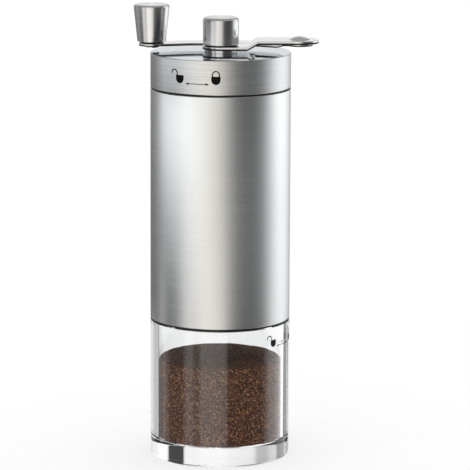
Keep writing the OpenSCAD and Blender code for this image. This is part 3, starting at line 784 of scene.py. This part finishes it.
def grain_tree(finish_material):
    """Geometry nodes that scatter grains over a surface and keep the surface."""
    group = bpy.data.node_groups.new("Scattered grains", "GeometryNodeTree")
    names = {}
    for name, kind, way in (
        ("Surface", "Geometry", "INPUT"), ("Grain Radius", "Float", "INPUT"),
        ("Density", "Float", "INPUT"), ("Seed", "Int", "INPUT"),
        ("Result", "Geometry", "OUTPUT"),
    ):
        names[name] = group.interface.new_socket(
            name, in_out=way, socket_type="NodeSocket" + kind).identifier
    tree = Tree(group)
    asked = group.nodes.new("NodeGroupInput")
    surface, radius, density, seed = (Sock(tree, asked.outputs[i]) for i in range(4))
    points = tree.add("GeometryNodeDistributePointsOnFaces", None,
                      {"Mesh": surface, "Density": density, "Seed": seed})
    ball = tree.add("GeometryNodeMeshIcoSphere", None, {"Radius": radius, "Subdivisions": 1})
    turn = tree.add("FunctionNodeRandomValue", {"data_type": "FLOAT_VECTOR"},
                    {0: (0, 0, 0), 1: (6.28, 6.28, 6.28), "Seed": seed})
    size = tree.add("FunctionNodeRandomValue", {"data_type": "FLOAT_VECTOR"},
                    {0: (0.55, 0.55, 0.45), 1: (1.0, 1.0, 0.9), "Seed": seed})
    scattered = tree.add("GeometryNodeInstanceOnPoints", None, {
        "Points": points, "Instance": ball, "Rotation": turn, "Scale": size})
    joined = group.nodes.new("GeometryNodeJoinGeometry")
    for part in (scattered, surface):
        group.links.new(part.socket, joined.inputs[0])
    real = tree.add("GeometryNodeRealizeInstances", None,
                    {"Geometry": Sock(tree, joined.outputs[0])})
    painted = tree.add("GeometryNodeSetMaterial", None,
                       {"Geometry": real, "Material": finish_material})
    tree.add("NodeGroupOutput", None, {"Result": painted})
    return group, names


class GRINDER_OT_coffee(Operator):
    """Fill the jar with ground coffee: a heap with loose grains on its surface"""

    bl_idname = "grinder.coffee"
    bl_label = "Ground Coffee"

    def execute(self, context):
        sizes = context.scene.grinder_sizes
        room = 0.04 * MM + sizes.grain_size * 0.8
        radius, floor, top = JAR_BORE_R - room, JAR_BASE_TOP + 0.1 * MM, sizes.coffee_top
        foot, rows, rings = 1.2 * MM, 30, 22
        profile = [(0, floor)] + [tuple(p) for p in rounded(
            [(0, floor, 0), (radius, floor, foot), (radius, top, 0)], 4)[1:-1]]
        wall = top - floor - foot
        profile += [(radius, floor + foot + wall * k / rows) for k in range(1, rows + 1)]
        profile += [(radius * (1 - k / rings), top) for k in range(1, rings + 1)]
        bm = turned(profile, COFFEE_COLUMNS)
        for vert in bm.verts:
            rough = noise.noise(vert.co * 700.0) * 0.12 + noise.noise(vert.co * 120.0) * 0.1
            if vert.co.z > top - 1e-6:
                vert.co.z += rough * MM * 1.5
            elif vert.co.xy.length > 1e-6:
                vert.co.xy *= 1.0 - abs(rough) * 0.006
        piece = piece_from(bm, "ground_coffee", "ground_coffee")
        group, names = grain_tree(finish("ground_coffee"))
        scatter = piece.modifiers.new("Grains", "NODES")
        scatter.node_group = group
        scatter[names["Grain Radius"]] = sizes.grain_size
        scatter[names["Density"]] = sizes.grains * 10000.0
        scatter[names["Seed"]] = sizes.grain_seed
        settle(applied(piece), "jar", "black_plastic")
        return {"FINISHED"}


class GRINDER_OT_solids(Operator):
    """Give every solid but the jar its finish, replaced or not"""

    bl_idname = "grinder.solids"
    bl_label = "Solids"

    def execute(self, context):
        finishes = {
            "black_plastic": ["lid_insert", "hopper", "mill_housing", "bearing_bracket",
                              "burr_retainer", "burr_carrier", "adjusting_nut"],
            "bright_steel": ["crank_spindle", "lid_bush", "fold_rivet", "knob_pin",
                             "bracket_screws", "retainer_screws", "drive_shaft",
                             "spring_washer"],
            "spring_steel": ["spindle_clip", "knob_snap_ring", "shaft_clip", "burr_spring"],
            "bearing_bronze": ["upper_bush", "lower_bush"],
            "burr_ceramic": ["ring_burr", "cone_burr"],
            "white_nylon": ["thrust_washer"],
            "seal_silicone": ["jar_seal"],
            "brushed_sleeve": ["sleeve"],
            "steel_cover": ["lid_cover"],
            "polished_steel": ["cap_nut", "knob", "inner_arm", "outer_arm"],
        }
        for name, nodes in finishes.items():
            for node in nodes:
                dress(node, name)
        return {"FINISHED"}


# ---------------------------------------------------------------- stage


# What the walls around show to a ray: azimuth in degrees from the front, level and tint.
STUDIO = [
    (-180, 0.95, "plain"), (-160, 0.85, "plain"), (-156, 0.50, "plain"),
    (-148, 0.50, "plain"), (-143, 0.62, "plain"), (-137, 0.62, "plain"),
    (-134, 0.20, "cool"), (-119, 0.16, "cool"), (-117, 0.60, "plain"),
    (-104, 0.60, "plain"), (-102, 0.12, "cool"), (-64, 0.14, "cool"),
    (-62, 0.95, "warm"), (-48, 1.00, "warm"), (-46, 0.45, "plain"), (-35, 0.50, "plain"),
    (-33, 1.25, "warm"), (-8, 1.15, "warm"), (11, 0.90, "warm"), (14, 0.16, "plain"),
    (26, 0.08, "plain"), (60, 0.07, "cool"), (85, 0.16, "cool"), (89, 1.00, "plain"),
    (110, 1.05, "plain"), (131, 1.20, "plain"), (143, 1.10, "plain"), (144, 0.06, "plain"),
    (158, 0.06, "plain"), (159, 0.95, "plain"), (180, 0.95, "plain"),
]
TINTS = {"plain": (1.0, 1.0, 1.0), "warm": (1.0, 0.975, 0.94), "cool": (0.96, 0.985, 1.0)}
PEAK = 1.5
# The ceiling takes over between two heights of a ray, and is darker to a reflection. The foot
# of the walls is brighter.
CEILING = {"From Min": 0.35, "From Max": 0.7}
OVERHEAD, OVERHEAD_LOST = 0.87, 0.60
WALL_FOOT = {"From Min": -0.36, "From Max": -0.24, "To Min": 1.25 * PEAK, "To Max": PEAK}
WHITE = (1.0, 1.0, 1.0, 1.0)
# The light cards: distance and top, then (height, share of the bright level) up the cards, and
# (azimuth, foot, dim level, bright level) along them.
CARD_AWAY, CARD_TOP = 1.6, -0.048
CARD_HEIGHTS = ((-0.235, 0.0), (-0.155, 0.25), (-0.085, 1.0))
LEFT_CARD = [
    (-168, -0.285, 0.22, 0.26), (-137, -0.285, 0.20, 0.28), (-122, -0.285, 0.23, 0.50),
    (-113, -0.236, 0.25, 1.05), (-104, -0.236, 0.27, 1.55), (-95, -0.236, 0.30, 1.80),
    (-83, -0.236, 0.35, 1.95), (-72, -0.236, 0.50, 2.05), (-67, -0.285, 0.60, 2.10),
    (-52, -0.285, 0.92, 2.00), (-38, -0.285, 1.10, 1.70), (-24, -0.285, 1.13, 1.30),
    (-8, -0.285, 1.03, 0.92),
]
RIGHT_CARD = [
    (-8, -0.285, 1.03, 0.92), (3, -0.285, 0.85, 0.64), (10, -0.285, 0.66, 0.46),
    (16, -0.285, 0.46, 0.32), (23, -0.285, 0.33, 0.23), (30, -0.285, 0.24, 0.17),
    (45, -0.285, 0.20, 0.16), (58, -0.285, 0.22, 0.20), (66, -0.285, 0.26, 0.29),
    (74, -0.285, 0.34, 0.45), (85, -0.285, 0.62, 0.85), (92, -0.285, 0.90, 1.15),
    (102, -0.285, 1.25, 1.55), (113, -0.285, 1.45, 1.70), (127, -0.285, 1.40, 1.60),
    (143, -0.285, 1.05, 1.15), (150, -0.285, 0.70, 0.75), (165, -0.285, 0.45, 0.45),
    (175, -0.285, 0.35, 0.35),
]
CARD_STEP = 3
CARD_LIFT, CARD_LIFT_FROM = 0.06, 84
CARD_COOL, CARD_WARM = (0.955, 0.98, 1.0), (1.02, 0.985, 0.89)
WARM_AT, WARM_FADE, WARM_LOST_ABOVE = -12, 30, 0.6
FLOOR_SIZE, FLOOR_DROP = 40.0, 0.06 * MM
# How far floor and walls go to plain white: where seen, and where seen through the whole jar.
FLOOR_PALED, THROUGH_PALED = 0.6, 0.85
WALLS_PASSED = 3.5
CAMERA_AT = (0.0, -1.41825, 0.36135)
CAMERA_TURN = (10.610, 0.257, 0.2311)
CAMERA_LENS, CAMERA_SENSOR = 256.98, 36.0


def passed_walls(tree):
    """1 for a ray that has gone through both walls of the jar, else 0."""
    depth = ray_is(tree, "Transmission Depth")
    return depth.math("GREATER_THAN", depth, WALLS_PASSED)


def card_columns(corners):
    """The card's columns between its corners: azimuth, foot, dim level and bright level."""
    for start, end in zip(corners, corners[1:]):
        steps = max(1, round((end[0] - start[0]) / CARD_STEP))
        for i in range(steps + (end is corners[-1])):
            t = i / steps
            yield [a + (b - a) * t for a, b in zip(start, end)]


def card_colour(level, turn, share):
    """The glow of a level on a card, warm in front and less so towards the top."""
    warm = min(1.0, max(0.0, 1.5 - abs(turn - WARM_AT) / WARM_FADE))
    warm *= 1.0 - WARM_LOST_ABOVE * share
    return (*(level * (a + (b - a) * warm) for a, b in zip(CARD_COOL, CARD_WARM)), 1.0)


def card_mesh(corners):
    """A curved card around the front, with its light in the layer named glow."""
    bm = bmesh.new()
    layer = bm.verts.layers.float_color.new("glow")
    columns = []
    for turn, foot, dim, bright in card_columns(corners):
        top = CARD_TOP + (CARD_LIFT if turn > CARD_LIFT_FROM else 0.0)
        x = CARD_AWAY * math.sin(math.radians(turn))
        y = -CARD_AWAY * math.cos(math.radians(turn))
        column = []
        for z, share in ((foot, 0.0), *CARD_HEIGHTS, (top, 1.0)):
            vert = bm.verts.new((x, y, max(z, foot)))
            vert[layer] = card_colour(dim + (bright - dim) * share, turn, share)
            column.append(vert)
        columns.append(column)
    for a, b in zip(columns, columns[1:]):
        for j in range(len(a) - 1):
            bm.faces.new([a[j], a[j + 1], b[j + 1], b[j]])
    return bm


class GRINDER_OT_stage(Operator):
    """Set the floor, the studio around it, the light cards and the camera"""

    bl_idname = "grinder.stage"
    bl_label = "Stage"

    def execute(self, context):
        self.floor(context)
        self.studio(context)
        self.cards()
        self.camera(context)
        context.scene.view_settings.view_transform = "Standard"
        return {"FINISHED"}

    def stage_object(self, name, bm, made):
        """An object of the stage, from a bmesh and its material."""
        mesh = bpy.data.meshes.new(name)
        bm.to_mesh(mesh)
        bm.free()
        mesh.materials.append(made)
        piece = bpy.data.objects.new(name, mesh)
        bpy.context.scene.collection.objects.link(piece)
        return piece

    def floor(self, context):
        """Lay the floor: pale, and white where it is seen through the jar."""
        made, tree = material("grinder_floor")
        colour = context.scene.grinder_colours.floor
        mottle = grain(tree, even(8.0), 3.0)
        lit = tree.add("ShaderNodeBsdfPrincipled", None, {
            "Base Color": tinted(tree, colour, mottle * 0.02 + 0.99),
            "Roughness": 0.9,
            "Specular IOR Level": 0.0,
        })
        white = tree.add("ShaderNodeEmission", None, {"Color": WHITE, "Strength": 1.0})
        seen, through = ray_is(tree, "Is Camera Ray"), ray_is(tree, "Is Transmission Ray")
        both = passed_walls(tree)
        paled = seen.math("MAXIMUM", seen * FLOOR_PALED, both * THROUGH_PALED)
        mixed = tree.add("ShaderNodeMixShader", None, {0: paled, 1: lit, 2: white})
        unseen = tree.add("ShaderNodeBsdfTransparent")
        inside = through.math("GREATER_THAN", through - both, 0.5)
        shown = tree.add("ShaderNodeMixShader", None, {0: inside, 1: mixed, 2: unseen})
        tree.add("ShaderNodeOutputMaterial", None, {"Surface": shown})
        bm = bmesh.new()
        bmesh.ops.create_grid(bm, x_segments=1, y_segments=1, size=FLOOR_SIZE / 2,
                              matrix=Matrix.Translation((0, 0, -FLOOR_DROP)))
        self.stage_object("floor", bm, made).visible_glossy = False

    def studio(self, context):
        """Surround the stage with bright and dark fields, and white behind it."""
        world = bpy.data.worlds.new("Studio")
        context.scene.world = world
        world.use_nodes = True
        tree = Tree(world.node_tree)
        way = tree.add("ShaderNodeTexCoord", out="Generated")
        x, y, z = (along_axis(tree, way, axis) for axis in "XYZ")
        azimuth = x.math("ARCTAN2", x, y * -1.0) * (0.5 / math.pi) + 0.5
        stops = [
            ((a + 180) / 360, tuple(level / PEAK * c for c in TINTS[tint]))
            for a, level, tint in STUDIO
        ]
        boxes = tree.add("ShaderNodeValToRGB", {"stops": stops}, {"Fac": azimuth})
        smooth = {"interpolation_type": "SMOOTHSTEP"}
        height = tree.add("ShaderNodeMapRange", smooth, {"Value": z, **CEILING})
        overhead = ray_is(tree, "Is Glossy Ray") * -OVERHEAD_LOST + OVERHEAD
        ceiling = tree.add("ShaderNodeCombineColor", None,
                           {"Red": overhead, "Green": overhead, "Blue": overhead})
        sky = tree.add("ShaderNodeMix", {"data_type": "RGBA"},
                       {0: height, 6: boxes, 7: ceiling}, 2)
        deep = tree.add("ShaderNodeMapRange", smooth, {"Value": z, **WALL_FOOT})
        around = tree.add("ShaderNodeBackground", None, {"Color": sky, "Strength": deep})
        white = tree.add("ShaderNodeBackground", None, {"Color": WHITE, "Strength": 1.0})
        seen = ray_is(tree, "Is Camera Ray")
        paled = seen.math("MAXIMUM", seen, passed_walls(tree) * THROUGH_PALED)
        mixed = tree.add("ShaderNodeMixShader", None, {0: paled, 1: around, 2: white})
        tree.add("ShaderNodeOutputWorld", None, {"Surface": mixed})

    def cards(self):
        """Stand two curved light cards around the front, seen by reflections only."""
        made, tree = material("grinder_card")
        glow = tree.add("ShaderNodeAttribute", {"attribute_name": "glow"}, None, "Color")
        lamp = tree.add("ShaderNodeEmission", None, {"Color": glow, "Strength": 1.0})
        tree.add("ShaderNodeOutputMaterial", None, {"Surface": lamp})
        for name, corners in (("left_card", LEFT_CARD), ("right_card", RIGHT_CARD)):
            card = self.stage_object(name, card_mesh(corners), made)
            card.visible_camera = False
            card.visible_diffuse = False
            card.visible_shadow = False
            card.visible_transmission = False

    def camera(self, context):
        """Look at the front from slightly above, through a long lens."""
        pitch, yaw, roll = (math.radians(a) for a in CAMERA_TURN)
        ahead = Vector((math.sin(yaw) * math.cos(pitch), math.cos(yaw) * math.cos(pitch),
                        -math.sin(pitch)))
        level = Vector((math.cos(yaw), -math.sin(yaw), 0.0))
        upright = level.cross(ahead)
        right = level * math.cos(roll) + upright * math.sin(roll)
        up = upright * math.cos(roll) - level * math.sin(roll)
        lens = bpy.data.cameras.new("Camera")
        lens.lens = CAMERA_LENS
        lens.sensor_width = CAMERA_SENSOR
        lens.clip_end = 100.0
        camera = bpy.data.objects.new("Camera", lens)
        turn = Matrix((right, up, -ahead)).transposed().to_4x4()
        camera.matrix_world = Matrix.Translation(CAMERA_AT) @ turn
        context.scene.collection.objects.link(camera)
        context.scene.camera = camera


class GRINDER_PT_finish(Panel):
    """Steps, sizes and colours of the grinder's finish"""

    bl_idname = "GRINDER_PT_finish"
    bl_label = "Grinder Finish"
    bl_space_type = "VIEW_3D"
    bl_region_type = "UI"
    bl_category = "Grinder"

    def draw(self, context):
        for step in STEPS:
            self.layout.operator(step.bl_idname)
        for group in (context.scene.grinder_sizes, context.scene.grinder_colours):
            column = self.layout.column(align=True)
            for name in group.__annotations__:
                column.prop(group, name)


STEPS = (
    GRINDER_OT_stage, GRINDER_OT_solids, GRINDER_OT_jar, GRINDER_OT_sleeve,
    GRINDER_OT_lid_cover, GRINDER_OT_turned_parts, GRINDER_OT_crank_arms,
    GRINDER_OT_printed_marks, GRINDER_OT_coffee,
)
CLASSES = (GrinderSizes, GrinderColours, *STEPS, GRINDER_PT_finish)


def register():
    for one in CLASSES:
        bpy.utils.register_class(one)
    bpy.types.Scene.grinder_sizes = PointerProperty(type=GrinderSizes)
    bpy.types.Scene.grinder_colours = PointerProperty(type=GrinderColours)


def unregister():
    del bpy.types.Scene.grinder_colours
    del bpy.types.Scene.grinder_sizes
    for one in reversed(CLASSES):
        bpy.utils.unregister_class(one)


def main():
    """Dresses the grinder."""
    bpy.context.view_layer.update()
    register()
    for step in STEPS:
        getattr(bpy.ops.grinder, step.bl_idname.split(".")[1])()


if __name__ == "__main__":
    main()
